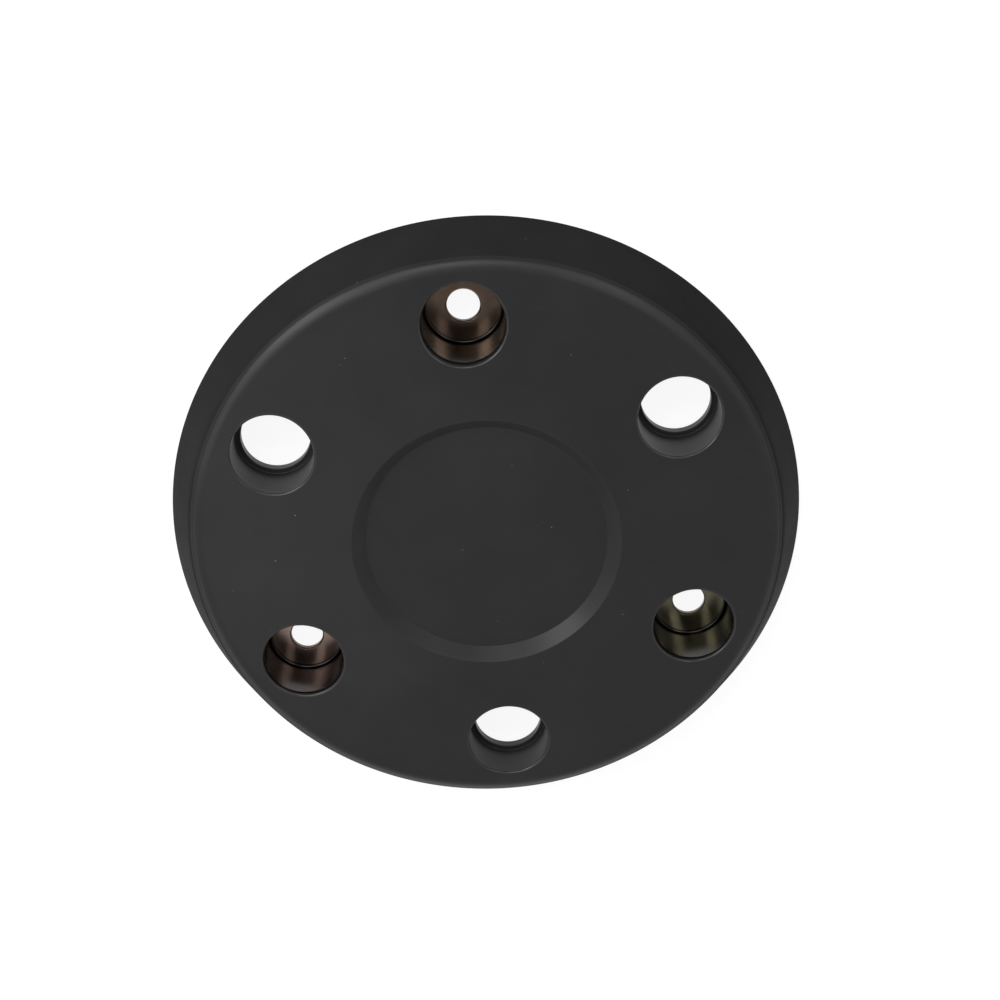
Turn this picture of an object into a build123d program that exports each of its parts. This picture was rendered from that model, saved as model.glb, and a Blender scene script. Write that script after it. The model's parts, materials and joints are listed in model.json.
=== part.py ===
from build123d import *
import os
from math import hypot, radians, sqrt, tan

# Hub cap for a six-bolt wheel: one moulded plastic cap with three steel cups moulded in.
# The axis is +Z with the face up, and z = 0 is the plane of the back rim. One cup lies on +Y.

# Cap, outside (millimetres)
RIM_DIA = 284.6          # back rim, before its edge is rounded
FACE_DIA = 261.4         # where the face and the skirt would meet with no rounding
HEIGHT = 30.0            # back rim to the edge of the centre recess
DOME_RADIUS = 1550.0     # crown of the face
EDGE_ROUND = 10.0        # rounding between face and skirt
RIM_ROUND = 0.8          # outer edge of the back rim
SKIN = 3.0               # wall of the moulding

# Centre recess with a bevelled edge
RECESS_DIA = 118.8
RECESS_DEPTH = 5.2
RECESS_BEVEL = 5.5       # how far the bevel runs inwards
RECESS_ROUND = 0.8

# Holes for the wheel bolts, every second one lined with a cup
BOLT_CIRCLE = 205.0
HOLE_COUNT = 6
FIRST_HOLE = 90.0        # angle of the first cup from +X, degrees
HOLE_DIA = 36.5          # at the face
HOLE_DRAFT = 1.6         # degrees
LIP_ROUND = 1.1          # edge of each hole at the face
BOSS_WALL = 2.5          # tube around each hole, behind the face
BOSS_DRAFT = 1.0         # degrees
BOSS_GAP = 3.3           # from the end of a tube to the rim plane
COLLAR_DIA = 30.8        # narrow end of an open hole, which the bolt head passes
COLLAR_LENGTH = 4.5

# Steel cup, drawn from sheet, with a flange that the plastic holds
CUP_DIA = 35.0           # inside, at the floor
CUP_FLARE = 0.8          # how much wider it is at the top
CUP_WALL = 1.5           # at the floor, and of the flange
CUP_FLOOR = 2.5
CUP_CORNER = 1.5         # inside radius between wall and floor
CUP_EDGE = 0.2           # inside edge at the top
CUP_BEND = 0.8           # outside radius under the flange
CUP_FLANGE = 2.0         # width of the flange beyond the wall
CUP_BOLT_DIA = 14.5      # clear hole for an M14 bolt
CUP_BEVEL = 0.6          # edge of that hole
CUP_FIT = 0.1            # shrink gap between cup and plastic
LIP_COVER = 1.5          # plastic over the flange where the face is lowest

# Ribs behind the face
RIB_TIP = 1.6            # thickness at the free edge
RIB_DRAFT = 1.0          # degrees
RIB_END = 14.0           # height of the free edges over the rim plane
RING_DIA = 134.0         # ring rib around the recess, centre line

# Sizes worked out from these
RIM_R = RIM_DIA / 2
FACE_R = FACE_DIA / 2
RECESS_R = RECESS_DIA / 2
BOLT_R = BOLT_CIRCLE / 2
HOLE_R = HOLE_DIA / 2
RING_R = RING_DIA / 2
DOME_CENTRE = HEIGHT - sqrt(DOME_RADIUS ** 2 - RECESS_R ** 2)
TOP = HEIGHT + HOLE_DIA
UNDER = -HEIGHT


def dome_height(radius):
    """Height of the crowned face at a distance from the axis."""
    return DOME_CENTRE + sqrt(DOME_RADIUS ** 2 - radius ** 2)


FACE_EDGE = dome_height(FACE_R)
HOLE_FACE = dome_height(BOLT_R)
SKIRT_SLOPE = (RIM_R - FACE_R) / FACE_EDGE
BEVEL_SLOPE = RECESS_BEVEL / RECESS_DEPTH
CUP_OUT_R = CUP_DIA / 2 + CUP_WALL
FLANGE_R = CUP_OUT_R + CUP_FLANGE
FLANGE_TOP = dome_height(BOLT_R + FLANGE_R) - LIP_COVER
FLANGE_SEAT = FLANGE_TOP - CUP_WALL
COLLAR_TOP = BOSS_GAP + COLLAR_LENGTH


def face_of(*points):
    """Closed flat outline through the points, as (radius, height)."""
    return make_face(Polyline(*points, close=True))


def round_corner(section, corner, radius):
    """Section with the corner nearest to a point rounded."""
    return fillet(section.vertices().sort_by_distance(corner)[0], radius)


def half_section(inset, base):
    """Half of the space under the cap's skin, moved inwards by inset and closed off at base."""
    wall_shift = inset * hypot(1, SKIRT_SLOPE)
    bevel_shift = inset * hypot(1, BEVEL_SLOPE)

    def skirt(height):
        return RIM_R - SKIRT_SLOPE * height - wall_shift

    def bevel(height):
        return RECESS_R + BEVEL_SLOPE * (height - HEIGHT) + bevel_shift

    floor = HEIGHT - RECESS_DEPTH - inset
    flank = face_of((0, base), (skirt(base), base), (skirt(TOP), TOP), (0, TOP))
    crown = Pos(0, DOME_CENTRE) * Circle(DOME_RADIUS - inset)
    dish = face_of((0, floor), (bevel(floor), floor), (bevel(TOP), TOP), (0, TOP))
    section = (flank & crown) - dish
    section = round_corner(section, (FACE_R - inset, FACE_EDGE - inset), max(EDGE_ROUND - inset, RIM_ROUND))
    section = round_corner(section, (RECESS_R + inset, HEIGHT - inset), RECESS_ROUND + inset)
    return round_corner(section, (bevel(floor), floor), RECESS_ROUND)


def spin(section):
    """Solid of revolution about the cap's axis."""
    return revolve(Plane.XZ * section, Axis.Z)


def on_bolt_circle(first, count):
    """Places on the bolt circle, evenly spaced from an angle."""
    return PolarLocations(BOLT_R, count, start_angle=first)


CUP_PLACES = on_bolt_circle(FIRST_HOLE, HOLE_COUNT // 2)
OPEN_PLACES = on_bolt_circle(FIRST_HOLE + 360 / HOLE_COUNT, HOLE_COUNT // 2)


def tapered_pin(radius, land, base, degrees):
    """Round pin that is straight above land and narrows from there down to base by a draft angle."""
    base_radius = radius - (land - base) * tan(radians(degrees))
    return spin(face_of((0, base), (base_radius, base), (radius, land), (radius, TOP), (0, TOP)))


def upright_rod(radius, base, top):
    """Plain cylinder from base to top."""
    return Pos(0, 0, base) * Cylinder(radius, top - base, align=(Align.CENTER, Align.CENTER, Align.MIN))


def open_bore():
    """Drafted hole from the face down to its collar."""
    return tapered_pin(HOLE_R, FLANGE_TOP, COLLAR_TOP, HOLE_DRAFT)


def cup_socket():
    """Room for a cup behind the lip: its wall, its bend and its flange."""
    bore_r = CUP_OUT_R + CUP_FIT
    flange_r = FLANGE_R + CUP_FIT
    lid = FLANGE_TOP + CUP_FIT
    outline = face_of(
        (0, UNDER), (bore_r, UNDER), (bore_r, FLANGE_SEAT), (flange_r, FLANGE_SEAT), (flange_r, lid), (0, lid)
    )
    return spin(round_corner(outline, (bore_r, FLANGE_SEAT), CUP_BEND))


def boss(bore_radius):
    """Tube behind the face around a hole, narrower towards its end."""
    return tapered_pin(bore_radius + BOSS_WALL, FLANGE_SEAT - SKIN, BOSS_GAP, BOSS_DRAFT)


def rib_between(inner, outer):
    """Radial rib along +X from one radius to another, with drafted sides."""
    edge = Pos((inner + outer) / 2, 0, RIB_END) * Rectangle(outer - inner, RIB_TIP)
    return extrude(edge, amount=TOP - RIB_END, taper=-RIB_DRAFT)


def ring_rib():
    """Round rib that stands around the recess."""
    half_tip = RIB_TIP / 2
    half_root = half_tip + (TOP - RIB_END) * tan(radians(RIB_DRAFT))
    return spin(
        face_of(
            (RING_R - half_tip, RIB_END), (RING_R + half_tip, RIB_END),
            (RING_R + half_root, TOP), (RING_R - half_root, TOP),
        )
    )


def turned(solid, first, count):
    """Copies of a solid turned about the axis, evenly spaced from an angle."""
    return [Rot(0, 0, first + 360 * i / count) * solid for i in range(count)]


def cap_shell():
    """Domed cap with its recess, holes, tubes and ribs, all one moulding."""
    blank = spin(round_corner(half_section(0, 0), (RIM_R, 0), RIM_ROUND))
    blank -= [place * open_bore() for place in OPEN_PLACES]
    blank -= [place * upright_rod(HOLE_R, UNDER, TOP) for place in CUP_PLACES]
    blank = fillet(hole_lips(blank), LIP_ROUND)

    core = spin(half_section(SKIN, UNDER))
    core -= [place * boss(HOLE_R) for place in OPEN_PLACES]
    core -= [place * boss(FLANGE_R + CUP_FIT) for place in CUP_PLACES]
    core -= ring_rib()
    core -= turned(rib_between(RING_R, RIM_R), FIRST_HOLE, HOLE_COUNT)

    shell = blank - core
    shell -= [place * upright_rod(COLLAR_DIA / 2, UNDER, TOP) for place in OPEN_PLACES]
    shell -= [place * cup_socket() for place in CUP_PLACES]
    return shell


def hole_lips(blank):
    """Edges where the holes break through the face."""
    lips = ShapeList()
    for edge in blank.edges():
        middle = edge.center(CenterOf.BOUNDING_BOX)
        on_circle = abs(hypot(middle.X, middle.Y) - BOLT_R) < HOLE_R / 2
        if on_circle and middle.Z > HOLE_FACE - LIP_COVER:
            lips.append(edge)
    return lips


def bolt_cup():
    """Flanged cup about its own axis, standing on the rim plane."""
    in_r = CUP_DIA / 2
    top_r = in_r + CUP_FLARE / 2
    bolt_r = CUP_BOLT_DIA / 2
    outline = face_of(
        (bolt_r, 0), (CUP_OUT_R, 0), (CUP_OUT_R, FLANGE_SEAT), (FLANGE_R, FLANGE_SEAT),
        (FLANGE_R, FLANGE_TOP), (top_r, FLANGE_TOP), (in_r, CUP_FLOOR), (bolt_r, CUP_FLOOR),
    )
    outline = round_corner(outline, (CUP_OUT_R, 0), CUP_CORNER + CUP_WALL)
    outline = round_corner(outline, (in_r, CUP_FLOOR), CUP_CORNER)
    outline = round_corner(outline, (CUP_OUT_R, FLANGE_SEAT), CUP_BEND)
    outline = round_corner(outline, (top_r, FLANGE_TOP), CUP_EDGE)
    rim = outline.vertices().sort_by_distance((bolt_r, CUP_FLOOR))[0]
    return spin(chamfer(rim, CUP_BEVEL))


os.makedirs("parts", exist_ok=True)
export_step(cap_shell(), "parts/cap_shell.step")
for number, place in enumerate(CUP_PLACES, start=1):
    export_step(place * bolt_cup(), f"parts/bolt_cup_{number}.step")
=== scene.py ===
import json
from math import atan2, hypot, pi, radians, sqrt, tan

import bmesh
import bpy
import numpy as np
from mathutils import Matrix, Vector


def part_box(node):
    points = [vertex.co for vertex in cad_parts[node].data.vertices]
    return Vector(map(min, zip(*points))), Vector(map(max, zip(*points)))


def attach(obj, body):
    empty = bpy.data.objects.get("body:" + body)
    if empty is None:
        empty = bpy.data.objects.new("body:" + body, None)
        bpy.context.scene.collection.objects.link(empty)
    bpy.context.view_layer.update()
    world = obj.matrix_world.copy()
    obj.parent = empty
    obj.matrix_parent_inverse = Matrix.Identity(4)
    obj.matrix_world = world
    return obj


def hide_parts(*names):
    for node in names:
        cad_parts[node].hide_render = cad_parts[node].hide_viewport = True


# Black hub cap with six bolt holes, three of them lined with steel cups.
# Everything is worked out in millimetres in the part's frame and turned into metres when a mesh is made.

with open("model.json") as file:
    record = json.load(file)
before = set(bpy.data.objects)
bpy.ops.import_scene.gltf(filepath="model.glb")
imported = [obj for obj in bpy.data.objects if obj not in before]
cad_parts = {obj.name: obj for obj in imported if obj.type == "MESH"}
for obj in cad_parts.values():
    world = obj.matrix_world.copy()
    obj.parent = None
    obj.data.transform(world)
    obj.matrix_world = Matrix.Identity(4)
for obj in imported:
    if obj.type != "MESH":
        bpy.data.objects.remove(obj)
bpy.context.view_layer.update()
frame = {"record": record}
mounts = {mount["name"]: mount for mount in frame["record"]["mounts"]}
MM = 0.001

# Cap: face, edge, skirt and recess
RIM_R = 142.3
FACE_R = 130.7
HEIGHT = 30.0
DOME_R = 1550.0
EDGE_ROUND = 10.0
RIM_ROUND = 0.8
SKIN = 3.0
RECESS_R = 59.4
RECESS_DEPTH = 5.2
RECESS_BEVEL = 5.5
RECESS_ROUND = 0.8

# Holes and the tubes behind them
BOLT_R = mounts["cup_bolts"]["dims"]["pcd_mm"] / 2
HOLE_R = 18.25
HOLE_DRAFT = radians(1.6)
LIP_ROUND = 1.1
BOSS_WALL = 2.5
BOSS_DRAFT = radians(1.0)
BOSS_GAP = mounts["bolt_head_holes"]["pos_m"][2] / MM
COLLAR_R = mounts["bolt_head_holes"]["dims"]["hole_r_mm"]
COLLAR_TOP = BOSS_GAP + 4.5
CUP_ANGLES = np.radians([90, 210, 330])
OPEN_ANGLES = np.radians([150, 270, 30])

# Steel cup
CUP_BOLT_R = mounts["cup_bolts"]["dims"]["hole_r_mm"]
CUP_IN_R = 17.5
CUP_TOP_R = 17.9
CUP_WALL = 1.5
CUP_OUT_R = CUP_IN_R + CUP_WALL
CUP_FLOOR = 2.5
CUP_CORNER = 1.5
CUP_FIT = 0.1
FLANGE_R = CUP_OUT_R + 2.0
FLANGE_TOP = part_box("bolt_cup_1")[1][2] / MM
FLANGE_SEAT = FLANGE_TOP - CUP_WALL

# Ribs behind the face
RIB_TIP = 1.6
RIB_DRAFT = radians(1.0)
RIB_END = 14.0
RING_R = 67.0

# Grids: points along each border of a sixth of the cap
OUTER_STEPS = 48
SIDE_STEPS = 16
INNER_STEPS = 40
AROUND = OUTER_STEPS + INNER_STEPS + 2 * SIDE_STEPS
INNER_R = 76.0
EDGE_STEPS = 24
SATIN_STEPS = 14
BACK_OUTER_R = 127.5
BEND_STEPS = 12
SHARP_DEGREES = 38

# Places of the finishes in each piece's list. The cap's hole-wall place holds painted light; its pocket place
# and the cup's wall and corner places hold painted shade.
FACE, LIT_BORE, BACK, SKIRT, LIP, SHADED_POCKET, EDGE = range(7)
CUP_FLOOR_SIDE, CUP_SHADED_WALL, CUP_OUTSIDE_AND_SHADED_CORNER = range(3)

DOME_CENTRE = HEIGHT - sqrt(DOME_R ** 2 - RECESS_R ** 2)


def dome(radius, inset=0.0):
    """Height of the crowned face: a sphere about a point far below, less the inset."""
    return DOME_CENTRE + np.sqrt((DOME_R - inset) ** 2 - np.square(radius))


SKIRT_SLOPE = (RIM_R - FACE_R) / float(dome(FACE_R))
SKIRT_LEAN = hypot(1, SKIRT_SLOPE)


def skirt(height, inset=0.0):
    """Radius of the straight skirt at a height, moved inwards by inset."""
    return RIM_R - SKIRT_SLOPE * height - inset * SKIRT_LEAN


def edge_centre():
    """Centre of the rounding between face and skirt, found by repeated steps: its radius inside both."""
    radius = FACE_R
    for _ in range(40):
        height = float(dome(radius, EDGE_ROUND))
        radius = skirt(height, EDGE_ROUND)
    return radius, height


EDGE_CENTRE_R, EDGE_CENTRE_Z = edge_centre()
EDGE_FROM = atan2(EDGE_CENTRE_R, EDGE_CENTRE_Z - DOME_CENTRE)
EDGE_TO = atan2(1, SKIRT_SLOPE)
EDGE_R = EDGE_CENTRE_R + EDGE_ROUND * np.sin(EDGE_FROM)


def edge_arc(inset, tilt_from, steps):
    """Rounding between face and skirt, moved inwards by inset: an arc from a tilt to the skirt's tilt."""
    tilt = np.linspace(tilt_from, EDGE_TO, steps)
    size = EDGE_ROUND - inset
    return np.column_stack([EDGE_CENTRE_R + size * np.sin(tilt), EDGE_CENTRE_Z + size * np.cos(tilt)])


def ceiling(radius):
    """Height of the skin's inner side: the inset sphere, then the inset edge rounding."""
    size = EDGE_ROUND - SKIN
    beyond = np.clip(radius - EDGE_CENTRE_R, 0, size)
    on_arc = EDGE_CENTRE_Z + np.sqrt(size ** 2 - beyond ** 2)
    return np.where(radius > EDGE_CENTRE_R + size * np.sin(EDGE_FROM), on_arc, dome(radius, SKIN))


def rounded(points, radii, steps=6):
    """Open outline with every inner corner replaced by an arc that touches both its sides."""
    points = np.asarray(points, float)
    radii = np.broadcast_to(np.asarray(radii, float), len(points) - 2)[:, None]
    into = points[1:-1] - points[:-2]
    out = points[2:] - points[1:-1]
    into = into / np.linalg.norm(into, axis=1, keepdims=True)
    out = out / np.linalg.norm(out, axis=1, keepdims=True)
    left = np.column_stack([-into[:, 1], into[:, 0]])
    turn = np.arctan2((left * out).sum(1), (into * out).sum(1))[:, None]
    start = points[1:-1] - into * radii * np.tan(np.abs(turn) / 2)
    part = np.linspace(0, 1, steps)[None, :] * np.abs(turn)
    along = (radii * np.sin(part))[:, :, None] * into[:, None, :]
    aside = (radii * np.sign(turn) * (1 - np.cos(part)))[:, :, None] * left[:, None, :]
    arcs = (start[:, None, :] + along + aside).reshape(-1, 2)
    outline = np.vstack([points[:1], arcs, points[-1:]])
    gap = np.linalg.norm(np.diff(outline, axis=0), axis=1)
    return outline[np.concatenate([[True], gap > 1e-6])]


def turned(outline, angles, centre=(0.0, 0.0)):
    """Outline of (radius, height) carried round an upright axis: rows along it, columns at the angles."""
    radius = outline[:, :1]
    height = np.repeat(outline[:, 1:], len(angles), axis=1)
    x = centre[0] + radius * np.cos(angles)
    y = centre[1] + radius * np.sin(angles)
    return np.stack([x, y, height], axis=-1)


def all_round(steps, first):
    """Evenly spaced angles of a full turn from a first one."""
    return first + 2 * pi * np.arange(steps) / steps


def grid_cells(rows, columns, first, wraps):
    """Corner indices of the cells of a grid, the last column joined to the first where it wraps."""
    row = np.arange(rows - 1)[:, None] * columns
    column = np.arange(columns if wraps else columns - 1)[None, :]
    after = (column + 1) % columns
    corners = [row + column, row + after, row + columns + after, row + columns + column]
    return first + np.stack(corners, axis=-1).reshape(-1, 4)


def mesh_of(name, patches, finishes):
    """Closed mesh from grids that share their borders, with doubles merged and faces turned outwards.

    Each patch is (grid of points in millimetres, whether its columns wrap, index of its finish).
    """
    points = []
    cells = []
    paint = []
    first = 0
    for grid, wraps, finish in patches:
        rows, columns = grid.shape[:2]
        block = grid_cells(rows, columns, first, wraps)
        points.append(grid.reshape(-1, 3))
        cells.append(block)
        paint.append(np.full(len(block), finish))
        first += rows * columns
    mesh = bpy.data.meshes.new(name)
    mesh.from_pydata((np.concatenate(points) * MM).tolist(), [], np.concatenate(cells).tolist())
    mesh.polygons.foreach_set("material_index", np.concatenate(paint).astype(np.int32))
    for finish in finishes:
        mesh.materials.append(finish)
    work = bmesh.new()
    work.from_mesh(mesh)
    bmesh.ops.remove_doubles(work, verts=work.verts, dist=2e-7)
    bmesh.ops.dissolve_degenerate(work, edges=work.edges, dist=1e-8)
    bmesh.ops.recalc_face_normals(work, faces=work.faces)
    work.to_mesh(mesh)
    work.free()
    return mesh


def smooth_piece(name, mesh, sharp_degrees):
    """Object with smooth shading, sharp where faces meet at more than an angle, large faces kept flat."""
    mesh.shade_smooth()
    mesh.set_sharp_from_angle(angle=radians(sharp_degrees))
    piece = bpy.data.objects.new(name, mesh)
    bpy.context.collection.objects.link(piece)
    weigh = piece.modifiers.new("weigh_normals", "WEIGHTED_NORMAL")
    weigh.keep_sharp = True
    weigh.weight = 80
    return piece


# Cap


def hole_place(angle):
    """Centre of a hole on the bolt circle."""
    return BOLT_R * np.cos(angle), BOLT_R * np.sin(angle)


def hole_turn(angle):
    """Angles of the points around a hole, which start opposite the first corner of its sixth of the cap."""
    return all_round(AROUND, angle - pi * OUTER_STEPS / AROUND)


def sixth_border(angle, outer_r):
    """Border of a sixth of the cap: along the outer arc, in on a ray, back on the inner arc, out on a ray."""
    half = pi / 6
    outer = np.linspace(-half, half, OUTER_STEPS, endpoint=False)
    inner = np.linspace(half, -half, INNER_STEPS, endpoint=False)
    ray = np.linspace(outer_r, INNER_R, SIDE_STEPS, endpoint=False)
    back_ray = np.linspace(INNER_R, outer_r, SIDE_STEPS, endpoint=False)
    radius = np.concatenate(
        [np.full(OUTER_STEPS, outer_r), ray, np.full(INNER_STEPS, INNER_R), back_ray]
    )
    turn = angle + np.concatenate([outer, np.full(SIDE_STEPS, half), inner, np.full(SIDE_STEPS, -half)])
    return np.column_stack([radius * np.cos(turn), radius * np.sin(turn)])


def sixth_skin(angle, ring, outer_r, height, rows):
    """Skin from the ring round a hole to the border of its sixth: straight lines seen from above,
    lifted to the height that belongs to each distance from the axis."""
    border = sixth_border(angle, outer_r)
    share = np.linspace(0, 1, rows)[:, None, None] ** 1.25
    flat = ring[None, :, :2] * (1 - share) + border[None] * share
    return np.dstack([flat, height(np.hypot(flat[..., 0], flat[..., 1]))])


def lip(angle, steps=9):
    """Rounded edge of a hole: a ball of the lip's radius rolled along wall and dome, drawn from one contact
    to the other along the great circle between the two normals."""
    turn = hole_turn(angle)
    x, y = hole_place(angle)
    out = np.column_stack([np.cos(turn), np.sin(turn), np.zeros(AROUND)])
    centre = out * (HOLE_R + LIP_ROUND) + [x, y, 0]
    centre[:, 2] = dome(np.hypot(centre[:, 0], centre[:, 1]), LIP_ROUND)
    up = (centre - [0, 0, DOME_CENTRE]) / (DOME_R - LIP_ROUND)
    between = np.arccos((up * -out).sum(1))[:, None]
    share = np.linspace(0, 1, steps)[:, None, None]
    normal = (np.sin((1 - share) * between) * up - np.sin(share * between) * out) / np.sin(between)
    return centre + LIP_ROUND * normal


def boss_outline(bore_r):
    """Outside of a tube behind the face, from its end up to the skin: drafted, then straight."""
    outer_r = bore_r + BOSS_WALL
    land = FLANGE_SEAT - SKIN
    end_r = outer_r - (land - BOSS_GAP) * tan(BOSS_DRAFT)
    return outer_r, [(end_r, BOSS_GAP), (outer_r, land)]


def open_hole_outline():
    """Open hole below the lip: straight land, drafted wall, ledge, collar, end and outside of the tube."""
    wall_end = HOLE_R - (FLANGE_TOP - COLLAR_TOP) * tan(HOLE_DRAFT)
    outer_r, outside = boss_outline(HOLE_R)
    corners = [
        (HOLE_R, FLANGE_TOP + 0.4), (HOLE_R, FLANGE_TOP), (wall_end, COLLAR_TOP), (COLLAR_R, COLLAR_TOP),
        (COLLAR_R, BOSS_GAP), *outside, (outer_r, FLANGE_SEAT - SKIN + 0.5),
    ]
    return outer_r, rounded(corners, [1.0, 0.5, 0.35, 0.35, 0.35, 1.0], 5)


def cup_hole_outline():
    """Hole for a cup from below the lip: underside of the lip, flange pocket, seat, bore, end and outside."""
    bore_r = CUP_OUT_R + CUP_FIT
    pocket_r = FLANGE_R + CUP_FIT
    lid = FLANGE_TOP + CUP_FIT
    outer_r, outside = boss_outline(pocket_r)
    corners = [
        (HOLE_R, lid + 0.4), (HOLE_R, lid), (pocket_r, lid), (pocket_r, FLANGE_SEAT), (bore_r, FLANGE_SEAT),
        (bore_r, BOSS_GAP), *outside, (outer_r, FLANGE_SEAT - SKIN + 0.5),
    ]
    return outer_r, rounded(corners, [0.2, 0, 0, 0, 0.3, 0.35, 1.0], 5)


def hole_patches(angle, outline_of):
    """Lip, inside and tube of one hole, with the front and back skin of its sixth of the cap."""
    edge = lip(angle)
    outer_r, outline = outline_of()
    turn = hole_turn(angle)
    tube = turned(outline, turn, hole_place(angle))
    root = turned(np.array([[outer_r, 0.0]]), turn, hole_place(angle))
    root[..., 2] = ceiling(np.hypot(root[..., 0], root[..., 1]))
    inside = 2 + np.searchsorted(-outline[:, 1], -BOSS_GAP - 0.5)
    # Cup holes take the pocket finish of painted shade; open holes take the hole-wall finish of painted light
    # above the collar.
    wall = LIT_BORE if outline_of is open_hole_outline else SHADED_POCKET
    ledge = 1 + int(np.argmax(outline[:, 1] < COLLAR_TOP + 0.4)) if wall == LIT_BORE else 2
    return [
        (sixth_skin(angle, edge[0], EDGE_R, dome, 11), True, FACE),
        (edge, True, LIP),
        (np.concatenate([edge[-1:], tube[:ledge]]), True, wall),
        (tube[ledge - 1:inside], True, FACE if wall == LIT_BORE else wall),
        (np.concatenate([tube[inside - 1:], root]), True, BACK),
        (sixth_skin(angle, root[0], BACK_OUTER_R, ceiling, 8), True, BACK),
    ]


def rim_outline():
    """Edge rounding, skirt, rounded back rim, inside of the skirt and of its rounding, as one outline."""
    back_tilt = np.arcsin((BACK_OUTER_R - EDGE_CENTRE_R) / (EDGE_ROUND - SKIN))
    face_side = edge_arc(0.0, EDGE_FROM, EDGE_STEPS)
    back_side = edge_arc(SKIN, back_tilt, 8)[::-1]
    low = rounded(
        [face_side[-1], (skirt(12.0), 12.0), (RIM_R, 0), (skirt(0, SKIN), 0), back_side[0]],
        [0, RIM_ROUND, 0.4], 6,
    )
    return np.vstack([face_side[:-1], low, back_side[1:]])


def middle_outline(inset, height):
    """Floor, bevel and edge of the recess out to the border of the sixths, moved inwards by inset."""
    slope = RECESS_BEVEL / RECESS_DEPTH
    shift = inset * hypot(1, slope)
    floor = HEIGHT - RECESS_DEPTH - inset
    foot = RECESS_R - RECESS_BEVEL - slope * inset + shift
    brow = RECESS_R + shift
    for _ in range(20):
        brow = RECESS_R + slope * (float(height(brow)) - HEIGHT) + shift
    tilt = -brow / (DOME_R - inset)
    bend = rounded(
        [(0, floor), (foot, floor), (brow, height(brow)), (brow + 4, height(brow) + 4 * tilt)],
        [RECESS_ROUND, RECESS_ROUND + inset], 8,
    )[1:-1]
    disc = np.linspace(0, foot - 2, 9)
    run = np.linspace(brow + 2.5, INNER_R, 5)
    return np.vstack([np.column_stack([disc, np.full(9, floor)]), bend, np.column_stack([run, height(run)])])


def cap_patches():
    """All grids of the cap's skin: recess, rim, and six sixths with their holes."""
    inner_turn = all_round(6 * INNER_STEPS, pi / 2 - pi / 6)
    outer_turn = all_round(6 * OUTER_STEPS, pi / 2 - pi / 6)
    rim = rim_outline()
    under = EDGE_STEPS + int(np.argmax(rim[EDGE_STEPS:, 1] < 0.01))
    patches = [
        (turned(middle_outline(0.0, dome), inner_turn), True, FACE),
        (turned(middle_outline(SKIN, ceiling), inner_turn), True, BACK),
        (turned(rim[:SATIN_STEPS - 1], outer_turn), True, FACE),
        (turned(rim[SATIN_STEPS - 2:SATIN_STEPS + 3], outer_turn), True, EDGE),
        (turned(rim[SATIN_STEPS + 2:under + 1], outer_turn), True, SKIRT),
        (turned(rim[under:], outer_turn), True, BACK),
    ]
    for angle in OPEN_ANGLES:
        patches += hole_patches(angle, open_hole_outline)
    for angle in CUP_ANGLES:
        patches += hole_patches(angle, cup_hole_outline)
    return patches


def ring_rib_patch():
    """Round rib about the recess, thicker towards the skin, its root in the middle of the skin."""
    root = float(dome(RING_R, SKIN / 2))
    half = RIB_TIP / 2
    root_half = half + (root - RIB_END) * tan(RIB_DRAFT)
    corners = [
        (RING_R, RIB_END), (RING_R + half, RIB_END), (RING_R + root_half, root),
        (RING_R - root_half, root), (RING_R - half, RIB_END), (RING_R, RIB_END),
    ]
    return (turned(rounded(corners, [0.25, 0, 0, 0.25], 4), all_round(240, 0.0)), True, BACK)


def rib_patch(angle, outline):
    """Both sides of a radial rib: its outline of (radius, height) moved aside by half its thickness.

    The thickness grows with height by the draft.
    """
    outline = np.asarray(outline, float)
    half = RIB_TIP / 2 + (outline[:, 1] - RIB_END) * tan(RIB_DRAFT)
    side = np.array([-1.0, 1.0])[:, None] * half
    turn = np.array([[np.cos(angle), np.sin(angle)], [-np.sin(angle), np.cos(angle)]])
    flat = np.stack([np.broadcast_to(outline[:, 0], side.shape), side], axis=-1) @ turn
    return np.dstack([flat, np.broadcast_to(outline[:, 1], side.shape)])


def rib_outlines(bore_r):
    """Outlines of the two ribs at a hole: from the ring rib to the tube, and from the tube to the skirt."""
    reach = bore_r + BOSS_WALL / 2
    near = np.linspace(RING_R, BOLT_R - reach, 6)
    far = np.linspace(BOLT_R + reach, EDGE_R, 3)[:-1]
    inner = np.vstack([
        [(RING_R, RIB_END), (BOLT_R - reach, RIB_END)],
        np.column_stack([near, dome(near, SKIN / 2)])[::-1],
    ])
    outer = np.vstack([
        [(BOLT_R + reach, RIB_END), (skirt(RIB_END, SKIN / 2), RIB_END)],
        edge_arc(SKIN / 2, EDGE_FROM, 6)[::-1],
        np.column_stack([far, dome(far, SKIN / 2)])[::-1],
    ])
    return inner, outer


def ribs_mesh(name, finishes, finish):
    """Twelve radial ribs as one mesh: each has two flat sides and a band of faces around its outline."""
    points = []
    faces = []
    first = 0
    for angles, bore_r in ((OPEN_ANGLES, HOLE_R), (CUP_ANGLES, FLANGE_R + CUP_FIT)):
        for angle in angles:
            for outline in rib_outlines(bore_r):
                sides = rib_patch(angle, outline)
                count = len(outline)
                near = first + np.arange(count)
                far = near + count
                band = np.column_stack([near, np.roll(near, -1), np.roll(far, -1), far])
                points.append(sides.reshape(-1, 3))
                faces += [near[::-1].tolist(), far.tolist(), *band.tolist()]
                first += 2 * count
    mesh = bpy.data.meshes.new(name)
    mesh.from_pydata((np.concatenate(points) * MM).tolist(), [], faces)
    mesh.polygons.foreach_set("material_index", np.full(len(faces), finish, np.int32))
    for each in finishes:
        mesh.materials.append(each)
    work = bmesh.new()
    work.from_mesh(mesh)
    bmesh.ops.recalc_face_normals(work, faces=work.faces)
    work.to_mesh(mesh)
    work.free()
    return mesh


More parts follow.
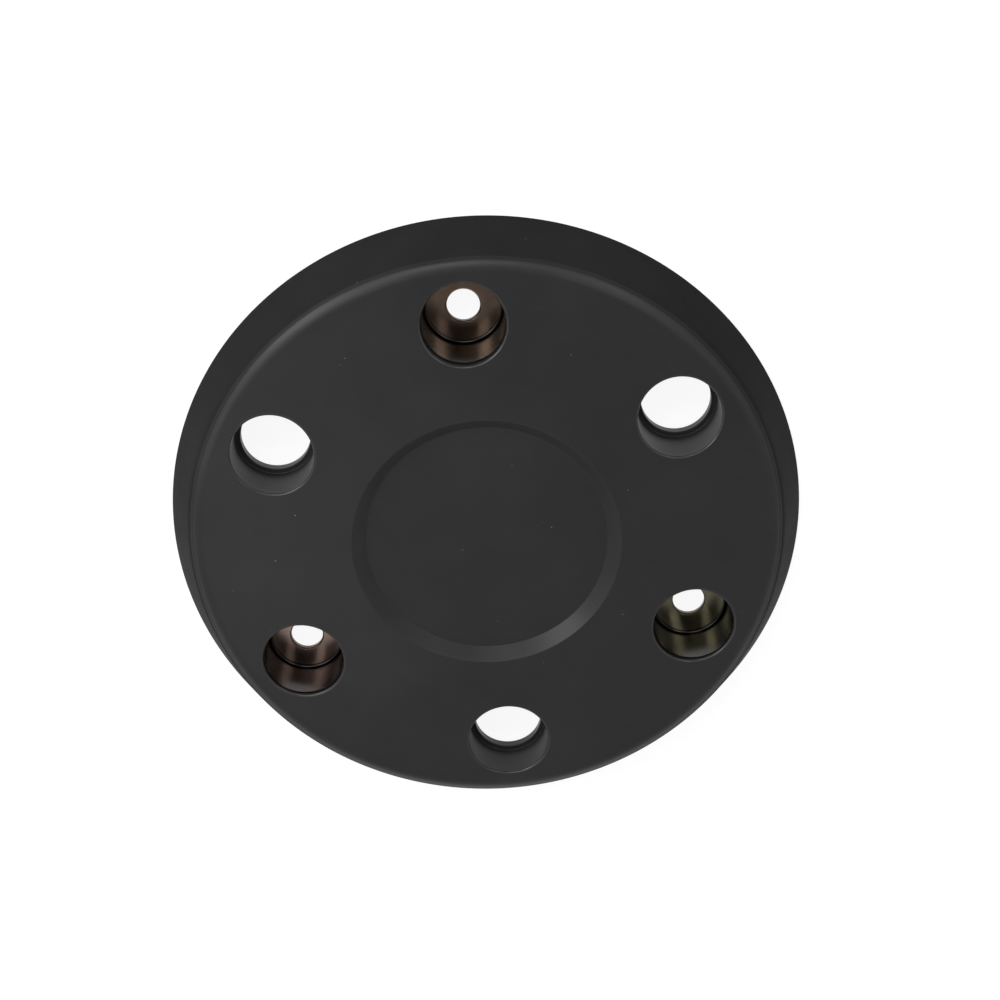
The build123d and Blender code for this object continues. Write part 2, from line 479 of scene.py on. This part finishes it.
def joined_meshes(name, meshes):
    """Solid union of closed meshes, made one after the other."""
    base = bpy.data.objects.new(name, meshes[0])
    bpy.context.collection.objects.link(base)
    tools = []
    for mesh in meshes[1:]:
        tool = bpy.data.objects.new(mesh.name, mesh)
        bpy.context.collection.objects.link(tool)
        cut = base.modifiers.new("unite", "BOOLEAN")
        cut.operation = "UNION"
        cut.solver = "EXACT"
        cut.object = tool
        tools.append(tool)
    depsgraph = bpy.context.evaluated_depsgraph_get()
    result = bpy.data.meshes.new_from_object(base.evaluated_get(depsgraph))
    result.name = name
    for spare in [base, *tools]:
        bpy.data.objects.remove(spare)
    return result


def cup_outline():
    """Section of a cup: bolt hole, underside, wall, flange, inside wall, corner, flat floor, bolt hole."""
    bevel = 0.6
    corners = [
        (CUP_BOLT_R, CUP_FLOOR / 2), (CUP_BOLT_R, 0), (CUP_OUT_R, 0), (CUP_OUT_R, FLANGE_SEAT),
        (FLANGE_R, FLANGE_SEAT), (FLANGE_R, FLANGE_TOP), (CUP_TOP_R, FLANGE_TOP), (CUP_IN_R, CUP_FLOOR),
        (CUP_BOLT_R + bevel, CUP_FLOOR), (CUP_BOLT_R, CUP_FLOOR - bevel), (CUP_BOLT_R, CUP_FLOOR / 2),
    ]
    radii = [0.3, CUP_CORNER + CUP_WALL, 0.2, 0.2, 0.2, 0.2, CUP_CORNER, 0.25, 0.15]
    return rounded(corners, radii, BEND_STEPS)


def cup_patches(angle):
    """Grids of a cup: outside with its trimmed edge, wall, corner, and floor with the bolt hole. Wall and
    corner are darkened as painted shade, and the outside shares the corner's finish.
    """
    outline = cup_outline()
    wall = 6 * BEND_STEPS
    corner = wall + 1
    floor = wall + BEND_STEPS
    bounds = (
        (0, wall, CUP_OUTSIDE_AND_SHADED_CORNER), (wall, corner, CUP_SHADED_WALL),
        (corner, floor, CUP_OUTSIDE_AND_SHADED_CORNER), (floor, len(outline) - 1, CUP_FLOOR_SIDE),
    )
    grid = turned(outline, all_round(160, 0.0), hole_place(angle))
    return [(grid[first:last + 1], True, finish) for first, last, finish in bounds]


# Finishes


def new_finish(name):
    """Empty node material with its output and Principled shader."""
    finish = bpy.data.materials.new(name)
    finish.use_nodes = True
    return finish, finish.node_tree


def add(tree, kind, **values):
    """Node of a kind with its properties set by name."""
    made = tree.nodes.new(kind)
    for key, value in values.items():
        setattr(made, key, value)
    return made


def noise(tree, place, scale, detail, roughness):
    """Noise texture at a place, with its size set on its own sockets."""
    made = add(tree, "ShaderNodeTexNoise")
    made.inputs["Scale"].default_value = scale
    made.inputs["Detail"].default_value = detail
    made.inputs["Roughness"].default_value = roughness
    tree.links.new(place, made.inputs["Vector"])
    return made.outputs["Fac"]


def spread(tree, value, low, high, to_low, to_high):
    """Value mapped from one range to another and held within it."""
    made = add(tree, "ShaderNodeMapRange")
    made.inputs["From Min"].default_value = low
    made.inputs["From Max"].default_value = high
    made.inputs["To Min"].default_value = to_low
    made.inputs["To Max"].default_value = to_high
    tree.links.new(value, made.inputs["Value"])
    return made.outputs["Result"]


def blended(tree, share, first, second):
    """Mix of two colours, each a plain colour or a socket, by a share."""
    made = add(tree, "ShaderNodeMix", data_type="RGBA")
    tree.links.new(share, made.inputs["Factor"])
    for colour, socket in ((first, made.inputs[6]), (second, made.inputs[7])):
        if isinstance(colour, tuple):
            socket.default_value = (*colour, 1)
        else:
            tree.links.new(colour, socket)
    return made.outputs[2]


def calculated(tree, operation, first, second):
    """Sum, product or larger of two numbers, each a plain number or a socket."""
    made = add(tree, "ShaderNodeMath", operation=operation)
    for value, socket in zip((first, second), made.inputs):
        if isinstance(value, (int, float)):
            socket.default_value = value
        else:
            tree.links.new(value, socket)
    return made.outputs[0]


def moulded_grain():
    """Node group: fine spark grain of a moulding as a height, and a soft mottle of its gloss."""
    group = bpy.data.node_groups.new("moulded_grain", "ShaderNodeTree")
    group.interface.new_socket("Place", in_out="INPUT", socket_type="NodeSocketVector")
    group.interface.new_socket("Height", in_out="OUTPUT", socket_type="NodeSocketFloat")
    group.interface.new_socket("Mottle", in_out="OUTPUT", socket_type="NodeSocketFloat")
    start = add(group, "NodeGroupInput")
    end = add(group, "NodeGroupOutput")
    place = start.outputs["Place"]
    fine = noise(group, place, 3200, 2, 0.6)
    coarse = noise(group, place, 900, 3, 0.55)
    group.links.new(calculated(group, "ADD", fine, coarse), end.inputs["Height"])
    group.links.new(noise(group, place, 38, 4, 0.6), end.inputs["Mottle"])
    return group


def faint_dust():
    """Node group: sparse pale specks and a soft, cloudy film of dust, as two masks."""
    group = bpy.data.node_groups.new("faint_dust", "ShaderNodeTree")
    group.interface.new_socket("Place", in_out="INPUT", socket_type="NodeSocketVector")
    group.interface.new_socket("Specks", in_out="OUTPUT", socket_type="NodeSocketFloat")
    group.interface.new_socket("Film", in_out="OUTPUT", socket_type="NodeSocketFloat")
    start = add(group, "NodeGroupInput")
    end = add(group, "NodeGroupOutput")
    place = start.outputs["Place"]
    cells = add(group, "ShaderNodeTexVoronoi")
    cells.inputs["Scale"].default_value = 260
    group.links.new(place, cells.inputs["Vector"])
    speck = spread(group, cells.outputs["Distance"], 0.06, 0.11, 1, 0)
    chosen = spread(group, noise(group, place, 130, 2, 0.5), 0.65, 0.71, 0, 1)
    group.links.new(calculated(group, "MULTIPLY", speck, chosen), end.inputs["Specks"])
    group.links.new(spread(group, noise(group, place, 26, 4, 0.6), 0.35, 0.7, 0, 1), end.inputs["Film"])
    return group


GRAIN = moulded_grain()
DUST = faint_dust()


def plastic(name, grey, gloss_level, roughness, mottle, bump, dusty):
    """Black moulded plastic: grain on the surface, gloss that varies a little, and a trace of dust."""
    finish, tree = new_finish(name)
    shader = tree.nodes["Principled BSDF"]
    place = add(tree, "ShaderNodeTexCoord").outputs["Object"]
    grain = add(tree, "ShaderNodeGroup", node_tree=GRAIN)
    dust = add(tree, "ShaderNodeGroup", node_tree=DUST)
    tree.links.new(place, grain.inputs["Place"])
    tree.links.new(place, dust.inputs["Place"])
    film = calculated(tree, "MULTIPLY", dust.outputs["Film"], dusty)
    clouded = blended(tree, film, (grey, grey, grey * 1.05), (0.09, 0.088, 0.085))
    specks = calculated(tree, "MULTIPLY", dust.outputs["Specks"], 8 * dusty)
    colour = blended(tree, specks, clouded, (0.3, 0.3, 0.29))
    tree.links.new(colour, shader.inputs["Base Color"])
    gloss = spread(tree, grain.outputs["Mottle"], 0.3, 0.7, roughness - mottle, roughness + mottle)
    tree.links.new(gloss, shader.inputs["Roughness"])
    raised = add(tree, "ShaderNodeBump")
    raised.inputs["Strength"].default_value = bump
    raised.inputs["Distance"].default_value = 0.00006
    tree.links.new(grain.outputs["Height"], raised.inputs["Height"])
    tree.links.new(raised.outputs["Normal"], shader.inputs["Normal"])
    shader.inputs["Specular IOR Level"].default_value = gloss_level
    return finish


def passivated_steel(name, depth, greyed):
    """Dark zinc plated steel with a thin tinted layer: copper on one side, bronze, then olive on the other.

    The depth scales the brightness of the tint, and greyed is the share of plain grey in it. A low depth with
    more grey is painted shade, as on the cup's wall and corner.
    """
    finish, tree = new_finish(name)
    shader = tree.nodes["Principled BSDF"]
    place = add(tree, "ShaderNodeTexCoord").outputs["Object"]
    grain = add(tree, "ShaderNodeGroup", node_tree=GRAIN)
    tree.links.new(place, grain.inputs["Place"])
    across = add(tree, "ShaderNodeSeparateXYZ")
    tree.links.new(place, across.inputs["Vector"])
    cloud = noise(tree, place, 70, 4, 0.6)
    wander = calculated(tree, "MULTIPLY", cloud, 0.09)
    shifted = calculated(tree, "ADD", across.outputs["X"], wander)
    to_bronze = spread(tree, shifted, -0.05, 0.03, 0, 1)
    to_olive = spread(tree, shifted, 0.06, 0.13, 0, 1)
    copper = blended(tree, to_bronze, (0.26, 0.19, 0.165), (0.25, 0.18, 0.135))
    olive = blended(tree, to_olive, copper, (0.235, 0.22, 0.15))
    tint = add(tree, "ShaderNodeMix", data_type="RGBA")
    tint.inputs["Factor"].default_value = greyed
    tint.inputs[7].default_value = (0.2, 0.195, 0.19, 1)
    tree.links.new(olive, tint.inputs[6])
    dull = spread(tree, noise(tree, place, 160, 3, 0.6), 0.35, 0.7, 0.85 * depth, 1.1 * depth)
    shade = add(tree, "ShaderNodeVectorMath", operation="SCALE")
    tree.links.new(tint.outputs[2], shade.inputs[0])
    tree.links.new(dull, shade.inputs["Scale"])
    tree.links.new(shade.outputs["Vector"], shader.inputs["Base Color"])
    gloss = spread(tree, grain.outputs["Mottle"], 0.3, 0.7, 0.18, 0.25)
    tree.links.new(gloss, shader.inputs["Roughness"])
    shader.inputs["Metallic"].default_value = 1.0
    return finish


def pale_floor(name):
    """White floor: plain white to the eye and in mirrors, with some of its shade left for the shadow."""
    finish, tree = new_finish(name)
    tree.nodes.remove(tree.nodes["Principled BSDF"])
    path = add(tree, "ShaderNodeLightPath")
    glow = add(tree, "ShaderNodeEmission")
    glow.inputs["Strength"].default_value = 0.9
    shaded = add(tree, "ShaderNodeBsdfDiffuse")
    shaded.inputs["Color"].default_value = (0.16, 0.16, 0.16, 1)
    seen = add(tree, "ShaderNodeAddShader")
    tree.links.new(glow.outputs[0], seen.inputs[0])
    tree.links.new(shaded.outputs[0], seen.inputs[1])
    lighting = add(tree, "ShaderNodeBsdfDiffuse")
    lighting.inputs["Color"].default_value = (0.75, 0.75, 0.75, 1)
    mirrored = calculated(tree, "MAXIMUM", path.outputs["Is Glossy Ray"], path.outputs["Is Transmission Ray"])
    plain = calculated(tree, "MAXIMUM", path.outputs["Is Camera Ray"], mirrored)
    either = add(tree, "ShaderNodeMixShader")
    tree.links.new(plain, either.inputs[0])
    tree.links.new(lighting.outputs[0], either.inputs[1])
    tree.links.new(seen.outputs[0], either.inputs[2])
    tree.links.new(either.outputs[0], tree.nodes["Material Output"].inputs["Surface"])
    return finish


# Pieces

face_finish = plastic("cap_face", 0.0195, 0.25, 0.36, 0.03, 0.2, 0.06)
# Open-hole walls: a little lighter than the face, painted light standing in for the bright reflection inside
# the holes.
lit_bore_finish = plastic("cap_hole_walls", 0.025, 0.16, 0.4, 0.04, 0.12, 0.05)
back_finish = plastic("cap_back", 0.018, 0.2, 0.5, 0.05, 0.2, 0.06)
skirt_finish = plastic("cap_skirt", 0.018, 0.012, 0.5, 0.04, 0.3, 0.05)
lip_finish = plastic("cap_hole_lips", 0.018, 0.5, 0.3, 0.03, 0.1, 0.05)
# Cup-hole pockets and the land under their lips: nearly black, painted shade in the gap beside the cups.
shaded_pocket_finish = plastic("cap_pockets", 0.006, 0.05, 0.5, 0.04, 0.12, 0.02)
edge_finish = plastic("cap_edge", 0.020, 0.09, 0.4, 0.03, 0.25, 0.06)
cap_finishes = [face_finish, lit_bore_finish, back_finish, skirt_finish, lip_finish, shaded_pocket_finish, edge_finish]
floor_finish = passivated_steel("steel_cup_floor", 1.0, 0.0)
# Cup wall: about a third as bright as the floor and greyer, painted shade for the dark inside of the cup.
shaded_wall_finish = passivated_steel("steel_cup_wall", 0.36, 0.55)
# Cup corner, and the hidden outside: nearly black steel, painted shade in the corner of the cup.
shaded_corner_finish = passivated_steel("steel_cup_corner", 0.12, 0.8)

skin_mesh = mesh_of("cap_skin", cap_patches(), cap_finishes)
ring_mesh = mesh_of("ring_rib", [ring_rib_patch()], cap_finishes)
rib_mesh = ribs_mesh("radial_ribs", cap_finishes, BACK)
cap_mesh = joined_meshes("cap_moulding", [skin_mesh, ring_mesh, rib_mesh])
cap = smooth_piece("cap_moulding", cap_mesh, SHARP_DEGREES)
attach(cap, "root")
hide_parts("cap_shell")

for number, angle in enumerate(CUP_ANGLES, start=1):
    cup_mesh = mesh_of(f"steel_cup_{number}", cup_patches(angle), [floor_finish, shaded_wall_finish, shaded_corner_finish])
    cup = smooth_piece(f"steel_cup_{number}", cup_mesh, SHARP_DEGREES)
    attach(cup, "root")
    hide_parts(f"bolt_cup_{number}")

# Floor, light and camera

floor_mesh = bpy.data.meshes.new("floor")
FLOOR_CORNERS = [(-4, -4, -0.0003), (4, -4, -0.0003), (4, 4, -0.0003), (-4, 4, -0.0003)]
floor_mesh.from_pydata(FLOOR_CORNERS, [], [(0, 1, 2, 3)])
floor_mesh.materials.append(pale_floor("pale_floor"))
floor = bpy.data.objects.new("floor", floor_mesh)
bpy.context.collection.objects.link(floor)

world = bpy.data.worlds.new("studio")
bpy.context.scene.world = world
world.use_nodes = True
sky = world.node_tree
backdrop = sky.nodes["Background"]
direction = add(sky, "ShaderNodeSeparateXYZ")
sky.links.new(add(sky, "ShaderNodeTexCoord").outputs["Generated"], direction.inputs["Vector"])
ramp = add(sky, "ShaderNodeValToRGB")
for place, grey in ((0.06, 1.0), (0.22, 0.45), (0.7, 0.42), (0.86, 0.4), (0.93, 0.07), (0.99, 0.07)):
    stop = ramp.color_ramp.elements.new(place)
    stop.color = (grey, grey, grey, 1)
ramp.color_ramp.elements.remove(ramp.color_ramp.elements[0])
ramp.color_ramp.elements.remove(ramp.color_ramp.elements[-1])
lean = calculated(sky, "MULTIPLY", direction.outputs["Y"], 0.12)
sky.links.new(calculated(sky, "ADD", direction.outputs["Z"], lean), ramp.inputs["Fac"])
sky.links.new(ramp.outputs["Color"], backdrop.inputs["Color"])


def softbox(name, azimuth, elevation, distance, width, height, radiance):
    """Rectangular lamp that faces the cap from a direction, with the brightness of its surface given."""
    lamp = bpy.data.lights.new(name, "AREA")
    lamp.shape = "RECTANGLE"
    lamp.size = width
    lamp.size_y = height
    lamp.energy = radiance * pi * width * height
    box = bpy.data.objects.new(name, lamp)
    turn = radians(azimuth)
    rise = radians(elevation)
    place = Vector((np.cos(rise) * np.cos(turn), np.cos(rise) * np.sin(turn), np.sin(rise))) * distance
    box.location = place
    box.rotation_euler = place.to_track_quat("Z", "Y").to_euler()
    box.visible_camera = False
    bpy.context.collection.objects.link(box)


softbox("left_softbox", 140, 36, 1.3, 0.55, 0.8, 5.4)
softbox("left_high", 137, 63, 1.4, 0.3, 0.3, 4.5)
softbox("left_low", 174, 34, 1.3, 0.5, 0.5, 1.5)
softbox("near_softbox", 95, 46, 1.5, 0.6, 0.2, 11.0)
softbox("right_softbox", 45, 44, 1.4, 0.4, 0.4, 3.4)
softbox("right_high", 32, 63, 1.4, 0.3, 0.3, 4.0)
softbox("far_right", 5, 38, 1.3, 0.5, 0.4, 1.0)
softbox("far_left", 226, 60, 1.5, 0.7, 0.6, 0.9)

EYE = Vector((0.034579, 0.415719, 0.875450))
VIEW = Vector((-0.0286975, -0.4228019, -0.9057676))
PICTURE_UP = Vector((0.0953, 0.9954, 0.0))
right = VIEW.cross(PICTURE_UP).normalized()
upward = right.cross(VIEW).normalized()
camera_data = bpy.data.cameras.new("photo_camera")
camera_data.sensor_width = 36.0
camera_data.lens = 76.87
camera_data.clip_start = 0.01
camera = bpy.data.objects.new("photo_camera", camera_data)
turn = Matrix((right, upward, -VIEW.normalized())).transposed()
camera.matrix_world = Matrix.Translation(EYE) @ turn.to_4x4()
bpy.context.collection.objects.link(camera)
bpy.context.scene.camera = camera
bpy.context.scene.view_settings.view_transform = "Standard"

bpy.context.view_layer.update()
